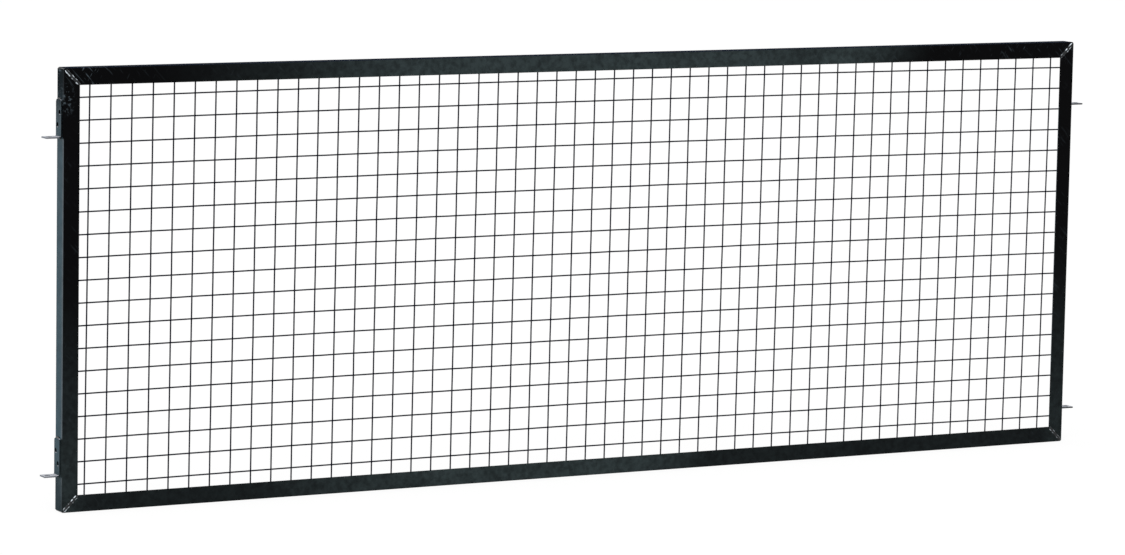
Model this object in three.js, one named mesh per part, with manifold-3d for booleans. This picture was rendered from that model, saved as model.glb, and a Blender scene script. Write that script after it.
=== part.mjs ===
// Framed wire mesh partition panel: four mitred steel angles, a sheet of welded
// wire mesh behind their front flanges, and four bent brackets on the two sides.
//
// Millimetres. +X runs along the panel, +Y from its front to its back, +Z is up.
// The origin is under the middle of the panel, on the surface it stands on.
import * as THREE from "three";
import { mergeVertices } from "three/addons/utils/BufferGeometryUtils.js";
import Module from "manifold-3d";

const wasm = await Module();
wasm.setup();

// ---------------------------------------------------------------- driving sizes

// Frame: angle stock with one flange facing the front, and its other leg round
// the outside of the panel, running to the back.
const panelWidth = 2667;
const panelHeight = 990.6;
const flangeWidth = 38.1;
const legDepth = 38.1;
const steelThickness = 3.2;
const heelRadius = 1.2;
const rootRadius = 3;
const toeRadius = 1.6;
const mitreGap = 0.6;
const cornerRadius = 6.4;

// Welded mesh: upright wires in front, level wires behind them. The sheet was
// welded in a little off the middle, and its uprights lean (degrees) to the right.
const meshPitch = 50.8;
const wireDiameter = 3.4;
const crossingSink = 0.6;
const meshClearance = 0.1;
const wireEndClearance = 14.9;
const sheetShift = -4;
const sheetRise = 3;
const uprightLean = 0.5;

// Weld bead across the front of each mitre.
const frontBeadWidth = 8;
const frontBeadHeight = 1.6;
const frontBeadOuterInset = 5;
const frontBeadInnerInset = 1;

// Weld bead down the outer edge of each corner, in a square notch.
const edgeRootFace = 0.3;
const edgeBeadSetback = 0.5;
const edgeBeadEndInset = 1.2;

// Brackets: flat bar bent outwards at its foot, welded to the side leg.
const bracketThickness = 3.2;
const bracketDepth = 30;
const bracketHeight = 85.7;
const bracketTabLength = 38.1;
const bracketBendInside = 2.4;
const bracketTopRadius = 7;
const bracketTabRadius = 3;
const upperBracketDrop = 155.6;
const lowerBracketRise = 80;

// Bracket holes: one in the tab, two staggered ones through bar and side leg.
const tabHoleDiameter = 12;
const tabHoleFromEnd = 12.7;
const boltHoleDiameter = 11;
const upperBoltHoleDrop = 28.6;
const lowerBoltHoleDrop = 57.1;
const boltHoleStagger = 6;

// Weld beads along the top and the foot of each bracket.
const bracketBeadRadius = 3;
const bracketBeadEndInset = 7;
const bendWeldGap = 0.3;

// Ripples that all the weld beads share.
const ripplePitch = 4;
const rippleDepth = 0.35;

// Facets round a weld bead and a hole, and in a rounded corner.
const beadSides = 8;
const holeSides = 20;
const cornerSteps = 3;

// A cutting block reaches this far past what it cuts.
const overshoot = 5;

// ----------------------------------------------------------- worked-out sizes

const halfWidth = panelWidth / 2;
const openingWidth = panelWidth - 2 * flangeWidth;
const openingHeight = panelHeight - 2 * flangeWidth;
const mitreLength = flangeWidth * Math.SQRT2;
// The beads stand out in front, so the frame sits a little behind the middle.
const frontY = (frontBeadHeight - legDepth) / 2;
const backY = frontY + legDepth;

// ------------------------------------------------------------------- materials

const finishes = {
  frame: { color: 0x1a1e20, roughness: 0.4, metalness: 0.1 },
  weld: { color: 0x24282b, roughness: 0.3, metalness: 0.15 },
  wire: { color: 0x2c2e33, roughness: 0.5, metalness: 0.2 },
  bracket: { color: 0x39424c, roughness: 0.45, metalness: 0.15 },
};

// ------------------------------------------------------- geometry <-> solid

// A closed three.js geometry as a solid that can be joined and cut.
function solidOf(geometry) {
  const bare = geometry.clone();
  bare.deleteAttribute("normal");
  bare.deleteAttribute("uv");
  const merged = mergeVertices(bare);
  const corners = merged.index.array;
  const triangles = [];
  for (let i = 0; i < corners.length; i += 3) {
    const [a, b, c] = corners.slice(i, i + 3);
    // A lathe leaves flat triangles where its profile meets the axis.
    const flat = a === b || b === c || c === a;
    if (!flat) triangles.push(a, b, c);
  }
  return new wasm.Manifold(
    new wasm.Mesh({
      numProp: 3,
      vertProperties: merged.attributes.position.array,
      triVerts: new Uint32Array(triangles),
    }),
  );
}

function geometryOf(solid) {
  const { vertProperties, triVerts } = solid.getMesh();
  const geometry = new THREE.BufferGeometry();
  geometry.setAttribute("position", new THREE.BufferAttribute(vertProperties, 3));
  geometry.setIndex(new THREE.BufferAttribute(triVerts, 1));
  geometry.computeVertexNormals();
  return geometry;
}

// A named sub-part, with its own material and its place in the panel.
function subPart(name, finish, solid, placement = new THREE.Matrix4()) {
  const material = new THREE.MeshStandardMaterial(finishes[finish]);
  const mesh = new THREE.Mesh(geometryOf(solid), material);
  mesh.name = name;
  mesh.applyMatrix4(placement);
  return mesh;
}

// ---------------------------------------------------------------- basic shapes

const X = new THREE.Vector3(1, 0, 0);
const Y = new THREE.Vector3(0, 1, 0);
const Z = new THREE.Vector3(0, 0, 1);

// An outline drawn on the directions u and v, extruded along w from a place.
function extruded(outline, length, u, v, w, place) {
  const geometry = new THREE.ExtrudeGeometry(outline, {
    depth: length,
    bevelEnabled: false,
    curveSegments: cornerSteps,
  });
  const turn = new THREE.Matrix4().makeBasis(u, v, w).setPosition(place);
  return solidOf(geometry.applyMatrix4(turn));
}

// A block between its lowest and its highest corner.
function block(low, high) {
  const size = high.clone().sub(low);
  const middle = low.clone().add(high).divideScalar(2);
  const geometry = new THREE.BoxGeometry(size.x, size.y, size.z);
  return solidOf(geometry.translate(middle.x, middle.y, middle.z));
}

// A round cutter centred on a place.
function drill(diameter, length, axis, place) {
  const radius = diameter / 2;
  const geometry = new THREE.CylinderGeometry(radius, radius, length, holeSides);
  geometry.applyQuaternion(new THREE.Quaternion().setFromUnitVectors(Y, axis));
  return solidOf(geometry.translate(place.x, place.y, place.z));
}

// A rectangle from (x0, y0) to (x1, y1). Its corners are rounded at the high end
// of x, and at the low end too where both is true.
function roundedRectangle(x0, y0, x1, y1, radius, both) {
  const quarter = Math.PI / 2;
  const low = both ? radius : 0;
  const outline = new THREE.Shape();
  outline.moveTo(x0 + low, y0);
  outline.lineTo(x1 - radius, y0);
  outline.absarc(x1 - radius, y0 + radius, radius, -quarter, 0);
  outline.absarc(x1 - radius, y1 - radius, radius, 0, quarter);
  if (both) {
    outline.absarc(x0 + radius, y1 - radius, radius, quarter, 2 * quarter);
    outline.absarc(x0 + radius, y0 + radius, radius, 2 * quarter, 3 * quarter);
  } else {
    outline.lineTo(x0, y1);
  }
  outline.closePath();
  return outline;
}

// A rod from the origin along +Y that swells and dips as a weld bead does.
function rippledRod(length, radius) {
  const ripples = Math.max(1, Math.round(length / ripplePitch));
  const steps = 2 * ripples;
  const profile = [new THREE.Vector2(0, 0)];
  for (let i = 0; i <= steps; i += 1) {
    const dip = i % 2 === 0 ? rippleDepth : 0;
    profile.push(new THREE.Vector2(radius - dip, (i * length) / steps));
  }
  profile.push(new THREE.Vector2(0, length));
  return new THREE.LatheGeometry(profile, beadSides);
}

// ------------------------------------------------------------------------ frame

// The rails and the corners go round the frame clockwise, seen from the front,
// from the foot of the left stile. A rail and the corner that it starts from
// share a place: local +X points inwards, +Y to the back and +Z along the rail.
const sides = [
  { rail: "left_stile", corner: "bottom_left", x: -halfWidth, z: 0 },
  { rail: "top_rail", corner: "top_left", x: -halfWidth, z: panelHeight },
  { rail: "right_stile", corner: "top_right", x: halfWidth, z: panelHeight },
  { rail: "bottom_rail", corner: "bottom_right", x: halfWidth, z: 0 },
];
sides.forEach((side, turn) => {
  side.upright = turn % 2 === 0;
  side.placement = new THREE.Matrix4().makeRotationY((turn * Math.PI) / 2);
  side.placement.setPosition(side.x, frontY, side.z);
});

// Section of the angle, with its heel at the origin.
function angleSection() {
  const t = steelThickness;
  const section = new THREE.Shape();
  section.moveTo(0, heelRadius);
  section.quadraticCurveTo(0, 0, heelRadius, 0);
  section.lineTo(flangeWidth, 0);
  section.lineTo(flangeWidth, t - toeRadius);
  section.quadraticCurveTo(flangeWidth, t, flangeWidth - toeRadius, t);
  section.lineTo(t + rootRadius, t);
  section.quadraticCurveTo(t, t, t, t + rootRadius);
  section.lineTo(t, legDepth - toeRadius);
  section.quadraticCurveTo(t, legDepth, t - toeRadius, legDepth);
  section.lineTo(0, legDepth);
  section.closePath();
  return section;
}

// What the two mitre cuts leave of a rail, seen from the front.
function mitredOutline(length) {
  const trim = mitreGap * Math.SQRT1_2;
  const reach = flangeWidth + overshoot;
  return new THREE.Shape([
    new THREE.Vector2(trim - overshoot, -overshoot),
    new THREE.Vector2(trim + reach, reach),
    new THREE.Vector2(length - trim - reach, reach),
    new THREE.Vector2(length - trim + overshoot, -overshoot),
  ]);
}

// Square notch along the outer edge of each corner, for its weld bead.
const edgeNotch = steelThickness - edgeRootFace;

function railSolid(side, boltHoles) {
  const length = side.upright ? panelHeight : panelWidth;
  const across = side.upright ? panelWidth : panelHeight;
  const start = new THREE.Vector3(0, -overshoot, 0);
  const through = legDepth + 2 * overshoot;
  const bar = extruded(angleSection(), length, X, Y, Z, new THREE.Vector3());
  const mitred = extruded(mitredOutline(length), through, Z, X, Y, start);
  const panel = roundedRectangle(0, 0, length, across, cornerRadius, true);
  const rounded = extruded(panel, through, Z, X, Y, start);
  let rail = bar.intersect(mitred).intersect(rounded);
  for (const end of [0, length]) {
    const low = new THREE.Vector3(-edgeNotch, -overshoot, end - edgeNotch);
    const high = new THREE.Vector3(edgeNotch, legDepth + overshoot, end + edgeNotch);
    rail = rail.subtract(block(low, high));
  }
  const toLocal = side.placement.clone().invert();
  for (const hole of boltHoles) {
    const place = hole.clone().applyMatrix4(toLocal);
    rail = rail.subtract(drill(boltHoleDiameter, 4 * steelThickness, X, place));
  }
  return rail;
}

// ------------------------------------------------------- weld beads of the frame

// Flattened half rod on the front of a mitre, from the outer corner inwards.
function frontBeadSolid() {
  const length = mitreLength - frontBeadOuterInset - frontBeadInnerInset;
  const radius = frontBeadWidth / 2;
  const rod = rippledRod(length, radius);
  const half = block(
    new THREE.Vector3(-frontBeadWidth, -overshoot, 0),
    new THREE.Vector3(frontBeadWidth, length + overshoot, frontBeadHeight + overshoot),
  );
  rod.scale(1, 1, frontBeadHeight / radius);
  const bead = geometryOf(solidOf(rod).intersect(half));
  const along = new THREE.Vector3(1, 0, 1).normalize();
  const out = Y.clone().negate();
  const turn = new THREE.Matrix4().makeBasis(along.clone().cross(out), along, out);
  turn.setPosition(along.clone().multiplyScalar(frontBeadOuterInset));
  return solidOf(bead.applyMatrix4(turn));
}

// Quarter rod that fills the notch at the outer edge of a corner.
function edgeBeadSolid() {
  const length = legDepth - 2 * edgeBeadEndInset;
  const rod = rippledRod(length, edgeNotch - edgeBeadSetback);
  rod.translate(edgeNotch, edgeBeadEndInset, edgeNotch);
  const quarter = block(
    new THREE.Vector3(-overshoot, -overshoot, -overshoot),
    new THREE.Vector3(edgeNotch, legDepth + overshoot, edgeNotch),
  );
  return solidOf(rod).intersect(quarter);
}

// --------------------------------------------------------------------- brackets

// A bracket's place is at the foot of its back face, half way across its depth.
// It points to -X on the left, and is turned round for the right. The sign of
// lean says which of its two bolt holes is nearer the front.
const levels = [
  { name: "upper", foot: panelHeight - upperBracketDrop, lean: 1 },
  { name: "lower", foot: lowerBracketRise, lean: -1 },
];
const brackets = [];
for (const [sideName, sign] of [["left", -1], ["right", 1]]) {
  for (const level of levels) {
    const turn = sign < 0 ? 0 : Math.PI;
    const placement = new THREE.Matrix4().makeRotationZ(turn);
    placement.setPosition(sign * halfWidth, backY - bracketDepth / 2, level.foot);
    brackets.push({
      name: `${level.name}_${sideName}`,
      sideName,
      placement,
      stagger: sign * level.lean * boltHoleStagger,
    });
  }
}

function boltHolePlaces(bracket) {
  return [
    new THREE.Vector3(0, bracket.stagger, bracketHeight - upperBoltHoleDrop),
    new THREE.Vector3(0, -bracket.stagger, bracketHeight - lowerBoltHoleDrop),
  ];
}

// Bolt holes of the brackets on one side, placed in the panel.
function boltHolesOn(sideName) {
  return brackets
    .filter((bracket) => bracket.sideName === sideName)
    .flatMap((bracket) =>
      boltHolePlaces(bracket).map((hole) => hole.applyMatrix4(bracket.placement)),
    );
}

const bendOutside = bracketBendInside + bracketThickness;

// Side view of the bent bar: the tab, the bend and the upright.
function bracketProfile() {
  const t = bracketThickness;
  const profile = new THREE.Shape();
  profile.moveTo(-bracketTabLength, 0);
  profile.lineTo(-bendOutside, 0);
  profile.absarc(-bendOutside, bendOutside, bendOutside, -Math.PI / 2, 0);
  profile.lineTo(0, bracketHeight);
  profile.lineTo(-t, bracketHeight);
  profile.lineTo(-t, bendOutside);
  profile.absarc(-bendOutside, bendOutside, bracketBendInside, 0, -Math.PI / 2, true);
  profile.lineTo(-bracketTabLength, t);
  profile.closePath();
  return profile;
}

function bracketSolid(bracket) {
  const half = bracketDepth / 2;
  const back = new THREE.Vector3(0, half, 0);
  const front = Y.clone().negate();
  const bar = extruded(bracketProfile(), bracketDepth, X, Z, front, back);
  // Rounded corners at the top of the upright, seen from the side.
  const upright = extruded(
    roundedRectangle(-overshoot, -half, bracketHeight, half, bracketTopRadius, false),
    bracketTabLength + 2 * overshoot,
    Z,
    Y,
    X.clone().negate(),
    new THREE.Vector3(overshoot, 0, 0),
  );
  // Rounded corners at the end of the tab, seen from above.
  const tab = extruded(
    roundedRectangle(-overshoot, -half, bracketTabLength, half, bracketTabRadius, false),
    bracketHeight + 2 * overshoot,
    X.clone().negate(),
    Y,
    Z.clone().negate(),
    new THREE.Vector3(0, 0, bracketHeight + overshoot),
  );
  let solid = bar.intersect(upright).intersect(tab);
  for (const place of boltHolePlaces(bracket)) {
    solid = solid.subtract(drill(boltHoleDiameter, 4 * bracketThickness, X, place));
  }
  const tabHole = new THREE.Vector3(tabHoleFromEnd - bracketTabLength, 0, 0);
  return solid.subtract(drill(tabHoleDiameter, 4 * bracketThickness, Z, tabHole));
}

// Rippled rod along a bracket's width, with its axis at a height on the side leg.
function bracketBeadRod(height) {
  const length = bracketDepth - 2 * bracketBeadEndInset;
  const rod = rippledRod(length, bracketBeadRadius);
  return solidOf(rod.translate(0, -length / 2, height));
}

// Quarter rod in the corner between the side leg and the bracket's top edge.
function topWeldSolid() {
  const quarter = block(
    new THREE.Vector3(-overshoot, -bracketDepth, bracketHeight),
    new THREE.Vector3(0, bracketDepth, bracketHeight + overshoot),
  );
  return bracketBeadRod(bracketHeight).intersect(quarter);
}

// Half rod under the bend, cut back from it.
function footWeldSolid() {
  const half = block(
    new THREE.Vector3(-overshoot, -bracketDepth, -overshoot),
    new THREE.Vector3(0, bracketDepth, overshoot),
  );
  const bend = drill(
    2 * (bendOutside + bendWeldGap),
    2 * bracketDepth,
    Y,
    new THREE.Vector3(-bendOutside, 0, bendOutside),
  );
  return bracketBeadRod(0).intersect(half).subtract(bend);
}

// ----------------------------------------------------------------- welded mesh

// Four-sided wire, with its ridges to the front, the back and both sides.
function wireSection() {
  const r = wireDiameter / 2;
  return new THREE.Shape([
    new THREE.Vector2(r, 0),
    new THREE.Vector2(0, r),
    new THREE.Vector2(-r, 0),
    new THREE.Vector2(0, -r),
  ]);
}

// Places of evenly pitched wires, centred on an opening.
function wirePlaces(opening) {
  const count = Math.round(opening / meshPitch);
  return Array.from({ length: count }, (_, i) => (i - (count - 1) / 2) * meshPitch);
}

// Both ends of every wire lap behind the flanges by this much.
const wireLap = flangeWidth - steelThickness - wireEndClearance;

// An upright leans over about its middle.
function uprightWire(x) {
  const length = openingHeight + 2 * wireLap;
  const lean = THREE.MathUtils.degToRad(uprightLean);
  const up = new THREE.Vector3(Math.sin(lean), 0, Math.cos(lean));
  const foot = new THREE.Vector3(x, 0, 0).addScaledVector(up, -length / 2);
  return extruded(wireSection(), length, Y.clone().cross(up), Y, up, foot);
}

function levelWire(z) {
  const length = openingWidth + 2 * wireLap;
  const end = new THREE.Vector3(-length / 2, wireDiameter - crossingSink, z);
  return extruded(wireSection(), length, Y, Z, X, end);
}

// The sheet is one solid, because its wires are welded at every crossing. Its own
// middle is at the origin, in the plane of the upright wires.
function sheetSolid() {
  const uprights = wirePlaces(openingWidth).map(uprightWire);
  const levels = wirePlaces(openingHeight).map(levelWire);
  return [...uprights, ...levels].reduce((sheet, wire) => sheet.add(wire));
}

// The uprights' front ridges lie just behind the flanges.
function sheetPlacement() {
  const uprightY = frontY + steelThickness + meshClearance + wireDiameter / 2;
  const middle = panelHeight / 2 + sheetRise;
  return new THREE.Matrix4().makeTranslation(sheetShift, uprightY, middle);
}

// --------------------------------------------------------------------- assembly

const panel = new THREE.Group();

const frameGroup = new THREE.Group();
const frontBead = frontBeadSolid();
const edgeBead = edgeBeadSolid();
for (const side of sides) {
  const stileSide = side.rail.replace("_stile", "");
  const rail = railSolid(side, boltHolesOn(stileSide));
  frameGroup.add(subPart(side.rail, "frame", rail, side.placement));
  frameGroup.add(subPart(`${side.corner}_mitre_weld`, "weld", frontBead, side.placement));
  frameGroup.add(subPart(`${side.corner}_edge_weld`, "weld", edgeBead, side.placement));
}
panel.add(frameGroup);

panel.add(subPart("welded_wire_mesh", "wire", sheetSolid(), sheetPlacement()));

const bracketGroup = new THREE.Group();
const topWeld = topWeldSolid();
const footWeld = footWeldSolid();
for (const bracket of brackets) {
  const { name, placement } = bracket;
  bracketGroup.add(subPart(`${name}_bracket`, "bracket", bracketSolid(bracket), placement));
  bracketGroup.add(subPart(`${name}_bracket_top_weld`, "weld", topWeld, placement));
  bracketGroup.add(subPart(`${name}_bracket_foot_weld`, "weld", footWeld, placement));
}
panel.add(bracketGroup);

export default panel;
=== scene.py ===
"""Framed welded wire mesh panel: its finished steel, welds, wires and paint.

Metres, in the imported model's frame: +X runs along the panel, +Y from its front
to its back, and +Z is up. The panel stands on the floor at z = 0.
"""
import math
import random

import bmesh
import bpy
from bpy.props import FloatProperty, FloatVectorProperty, IntProperty, PointerProperty
from mathutils import Matrix, Vector, noise


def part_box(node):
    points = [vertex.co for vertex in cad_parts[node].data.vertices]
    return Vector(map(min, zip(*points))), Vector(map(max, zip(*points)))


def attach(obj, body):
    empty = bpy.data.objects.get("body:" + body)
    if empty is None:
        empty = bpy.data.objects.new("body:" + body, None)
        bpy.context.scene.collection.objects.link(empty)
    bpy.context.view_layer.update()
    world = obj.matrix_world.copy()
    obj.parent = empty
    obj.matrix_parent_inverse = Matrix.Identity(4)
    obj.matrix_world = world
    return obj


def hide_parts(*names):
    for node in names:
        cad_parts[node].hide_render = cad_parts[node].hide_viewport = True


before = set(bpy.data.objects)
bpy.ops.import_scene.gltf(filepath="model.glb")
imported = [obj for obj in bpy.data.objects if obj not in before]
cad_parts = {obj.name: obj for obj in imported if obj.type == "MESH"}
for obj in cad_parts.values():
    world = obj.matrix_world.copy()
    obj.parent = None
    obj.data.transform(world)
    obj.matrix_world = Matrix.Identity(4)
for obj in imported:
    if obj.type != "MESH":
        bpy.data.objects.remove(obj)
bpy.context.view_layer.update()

bl_info = {
    "name": "Welded Mesh Panel",
    "version": (1, 0, 0),
    "blender": (4, 5, 0),
    "location": "View3D > Sidebar > Mesh Panel",
    "description": "Finishes the steel, welds, wires and paint of a mesh panel",
    "category": "Object",
}

# ------------ places in the frame

LEFT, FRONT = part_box("left_stile")[0].xy
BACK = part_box("left_stile")[1].y
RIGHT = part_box("right_stile")[1].x
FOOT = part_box("bottom_rail")[0].z
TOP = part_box("top_rail")[1].z
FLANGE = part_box("left_stile")[1].x - LEFT
LEG = BACK - FRONT
WIDTH = RIGHT - LEFT
HEIGHT = TOP - FOOT

# Each side of the frame and the corner it starts from, clockwise from the foot of
# the left stile, with the corner's place. Locally +X points into the panel, +Y to
# its back and +Z along the side.
SIDES = (
    ("left_stile", "bottom_left", LEFT, FOOT),
    ("top_rail", "top_left", LEFT, TOP),
    ("right_stile", "top_right", RIGHT, TOP),
    ("bottom_rail", "bottom_right", RIGHT, FOOT),
)
BRACKETS = ("upper_left", "lower_left", "upper_right", "lower_right")


def side_of(name):
    """Where a bracket's stile has its outer face, along X."""
    return LEFT if "left" in name else RIGHT


# Blender's own axes, and the slant of a 45 degree cut.
X_AXIS = Vector((1, 0, 0))
Y_AXIS = Vector((0, 1, 0))
Z_AXIS = Vector((0, 0, 1))
QUARTER_TURN = math.pi / 2
SLANT = math.sqrt(2)


def setting(kind, name, default, description, **more):
    """A value that a user may change."""
    return kind(name=name, description=description, default=default, **more)


def length(*words):
    """A length in metres."""
    return setting(
        FloatProperty, *words, unit="LENGTH", subtype="DISTANCE", precision=5
    )


def colour(*words):
    """A paint colour."""
    return setting(FloatVectorProperty, *words, subtype="COLOR", min=0, max=1)


def share(*words):
    """A plain number from 0 to 1."""
    return setting(FloatProperty, *words, min=0, max=1)


def power(*words):
    """The power of a lamp."""
    return setting(FloatProperty, *words, min=0, unit="POWER")


# ------------ sizes, colours


class AngleSizes(bpy.types.PropertyGroup):
    """Rolled steel angle of the frame."""

    steel: length("Steel", 0.0032, "Thickness of the angle")
    heel_radius: length("Heel radius", 0.0012, "Outside corner of the angle")
    root_radius: length("Root radius", 0.003, "Inside corner of the angle")
    toe_radius: length("Toe radius", 0.0016, "Inner edge at the end of each leg")
    edge_radius: length("Edge radius", 0.0004, "Outer edge at the end of each leg")
    left_corner: length("Left corners", 0.003, "Radius of the left outer corners")
    right_corner: length("Right corners", 0.0064, "Radius of the right outer corners")
    corner_notch: length("Corner notch", 0.0029, "Notch that the corner weld fills")
    mitre_gap: length("Mitre gap", 0.0006, "Gap between two mitred ends")
    waviness: length("Waviness", 0.00025, "How far the rolled faces wander")
    wave_step: length("Wave step", 0.06, "Distance between the sections of a wavy face")


class WeldSizes(bpy.types.PropertyGroup):
    """Weld beads."""

    mitre_width: length("Mitre bead width", 0.008, "Bead across the front of a mitre")
    glint_run: length("Glint run", 0.009, "From one bright patch of a toe to the next")
    ripple_pitch: length("Ripple pitch", 0.0031, "Distance between two ripples")
    ripple_bow: length("Ripple bow", 0.0018, "How far a ripple trails at the toes")
    ripple_depth: share("Ripple depth", 0.34, "Depth of the ripples, in bead heights")
    wander: length("Wander", 0.0006, "How far a bead strays from its line")
    corner_radius: length("Corner bead radius", 0.0024, "Bead down a corner's edge")
    bracket_radius: length("Bracket bead radius", 0.003, "Beads of the brackets")
    # How strong the painted glints on each mitre bead are.
    painted_glint: setting(
        FloatVectorProperty,
        "Shine",
        (1, 1, 1, 0.35),
        "How bright the mitre beads are, clockwise from the bottom left one",
        size=4,
        min=0,
        max=1,
    )
    spatter_radius: length("Spatter", 0.0006, "Largest ball of weld spatter")
    spatter_reach: length("Spatter reach", 0.03, "How far spatter flies from a bead")
    spatter_count: setting(
        IntProperty, "Spatter count", 16, "Balls of spatter by each mitre bead", min=0
    )


class BracketSizes(bpy.types.PropertyGroup):
    """Bent flat bar of the brackets."""

    thickness: length("Thickness", 0.0032, "Thickness of the bar")
    bend_inside: length("Bend radius", 0.0024, "Inside radius of the bend")
    top_radius: length("Top radius", 0.007, "Rounded corners at the top")
    tab_radius: length("Tab radius", 0.003, "Rounded corners at the end of the tab")
    edge_radius: length("Edge radius", 0.0005, "Edges all round the bar")
    bolt_hole: length("Bolt hole", 0.011, "Diameter of the two bolt holes")
    upper_drop: length("Upper hole drop", 0.0286, "From the top to the upper hole")
    lower_drop: length("Lower hole drop", 0.0571, "From the top to the lower hole")
    stagger: length("Stagger", 0.006, "How far a bolt hole is off the middle")
    tab_hole: length("Tab hole", 0.012, "Diameter of the hole in the tab")
    tab_hole_from_end: length("Tab hole from end", 0.0127, "Its place on the tab")
    hole_chamfer: length("Hole chamfer", 0.0004, "Worn edge of each hole")


class SheetSizes(bpy.types.PropertyGroup):
    """Welded wire sheet, which was welded in a little off the middle."""

    pitch: length("Pitch", 0.0508, "Distance between two wires")
    wire: length("Wire", 0.0034, "Diameter of the wire")
    sink: length("Crossing sink", 0.0006, "How far crossing wires melt together")
    clearance: length("Clearance", 0.0001, "From the flanges to the upright wires")
    lap: length("Lap", 0.02, "How far a wire reaches behind the flange")
    shift: length("Shift", -0.004, "Sheet's middle, along the panel")
    rise: length("Rise", 0.0049, "Sheet's middle, above the panel's")
    bow: length("Bow", 0.0058, "How far the ends of a level wire hang")
    end_difference: length("End difference", 0.0035, "Right end above the left one")
    lean: setting(
        FloatProperty,
        "Lean",
        math.radians(0.5),
        "Lean of the upright wires to the right",
        unit="ROTATION",
        subtype="ANGLE",
    )
    kink: length("Kink", 0.0004, "How far a wire strays from straight")
    buckle: length("Buckle", 0.0008, "How far the sheet bulges to its front and back")
    nugget: length("Nugget", 0.0023, "Half the width of a crossing's weld")


class PaintColours(bpy.types.PropertyGroup):
    """Paints, as plain linear colours."""

    black: colour("Black", (0.0008, 0.0008, 0.0011), "Fresh paint on the front faces")
    # Haze is a painted sheen on the front faces in mid span, and lighter paint at the
    # foot of the stiles.
    haze: colour("Haze", (0.0235, 0.033, 0.0345), "Dulled paint with dust on it")
    # Slate is a painted sheen on the outer legs, which face sideways.
    side_sheen_colour: colour("Slate", (0.028, 0.058, 0.076), "Chalky paint on the outer legs")
    # Worn is a painted highlight along the outer legs' front edge, by the heel.
    worn: colour("Worn", (0.075, 0.092, 0.106), "Outer legs at their front edge")
    # Tab is a painted highlight on the tabs' upward faces.
    tab: colour("Tab", (0.42, 0.43, 0.47), "Worn tops of the tabs")
    # Edge is a painted highlight on the left tabs' side edges.
    edge: colour("Edge", (0.24, 0.25, 0.28), "Rubbed edges of the left tabs")
    # Navy is painted shade: a dark bluish tone on the rails' upward faces.
    roof_shade: colour("Navy", (0.0005, 0.004, 0.012), "Paint on top of the rails")
    scuff: colour("Scuff", (0.070, 0.090, 0.105), "Rubbed and scratched paint")
    wire: colour("Wire", (0.005, 0.006, 0.011), "Paint on the wires")
    wire_haze: colour("Wire haze", (0.010, 0.011, 0.018), "Worn paint on the wires")
    weld: colour("Weld", (0.006, 0.007, 0.008), "Paint pooled on the welds")
    weld_crest: colour("Weld crest", (0.028, 0.036, 0.042), "Thin paint on the ripples")
    # Bright is a painted highlight: the glints on the toes of the weld beads.
    bright: colour("Bright", (0.72, 0.80, 0.86), "Steel that shows on the toes")


class StudioSettings(bpy.types.PropertyGroup):
    """Camera and lamps."""

    camera_place: setting(
        FloatVectorProperty,
        "Camera place",
        (-5.4882, -9.9904, 1.9208),
        "In the panel's frame",
        unit="LENGTH",
        subtype="TRANSLATION",
    )
    camera_turn: setting(
        FloatVectorProperty,
        "Camera turn",
        (math.radians(28.472), math.radians(-7.28), math.radians(1.051)),
        "Turn to the right, tilt upwards and roll",
        unit="ROTATION",
        subtype="EULER",
    )
    lens: setting(
        FloatProperty, "Lens", 157.184, "Focal length on a 36 mm sensor", unit="CAMERA"
    )
    ambient: share("Ambient", 0.775, "Light from all round")
    key: setting(FloatProperty, "Key", 1.5, "Wide soft lamp", min=0)
    rim: power("Rim", 70, "Soft box behind the left end")
    glint: power("Glint", 15, "Each small lamp that picks out the welds")
    floor_reach: length("Floor reach", 90, "Half the width of the floor")


class PanelSettings(bpy.types.PropertyGroup):
    """All that a user of the panel may change."""

    angle: PointerProperty(type=AngleSizes)
    weld: PointerProperty(type=WeldSizes)
    bracket: PointerProperty(type=BracketSizes)
    sheet: PointerProperty(type=SheetSizes)
    paint: PointerProperty(type=PaintColours)
    studio: PointerProperty(type=StudioSettings)


# ------------ paint finishes


class Nodes:
    """A node tree that is built up one node at a time."""

    def __init__(self, owner):
        owner.use_nodes = True
        self.tree = owner.node_tree

    def join(self, value, socket):
        """Links an output to a socket, or sets a plain value on it."""
        if isinstance(value, bpy.types.NodeSocket):
            self.tree.links.new(value, socket)
        elif socket.type == "RGBA":
            socket.default_value = (*value, 1)
        else:
            socket.default_value = value

    def add(self, kind, **inputs):
        """A new node, with some of its inputs joined or set."""
        node = self.tree.nodes.new(kind)
        for name, value in inputs.items():
            self.join(value, node.inputs[name])
        return node

    def feed(self, node, *values):
        """Joins or sets a node's inputs in order, and gives its first output."""
        for value, socket in zip(values, node.inputs):
            self.join(value, socket)
        return node.outputs[0]

    def maths(self, operation, *values):
        """One sum on numbers."""
        node = self.add("ShaderNodeMath")
        node.operation = operation
        return self.feed(node, *values)

    def end_in_mix(self, kind, factor, below, above):
        """Ends the tree in a mix of the shaders of two nodes."""
        mix = self.add("ShaderNodeMixShader")
        mixed = self.feed(mix, factor, below.outputs[0], above.outputs[0])
        self.add(kind, Surface=mixed)


# How much light each slot's finish mirrors, as the shader's specular level.
MIRRORED = {
    "frame_paint": 0.03,
    "bracket_paint": 0.04,
    "wire_paint": 0.03,
    "weld_paint": 0.25,
}


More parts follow.
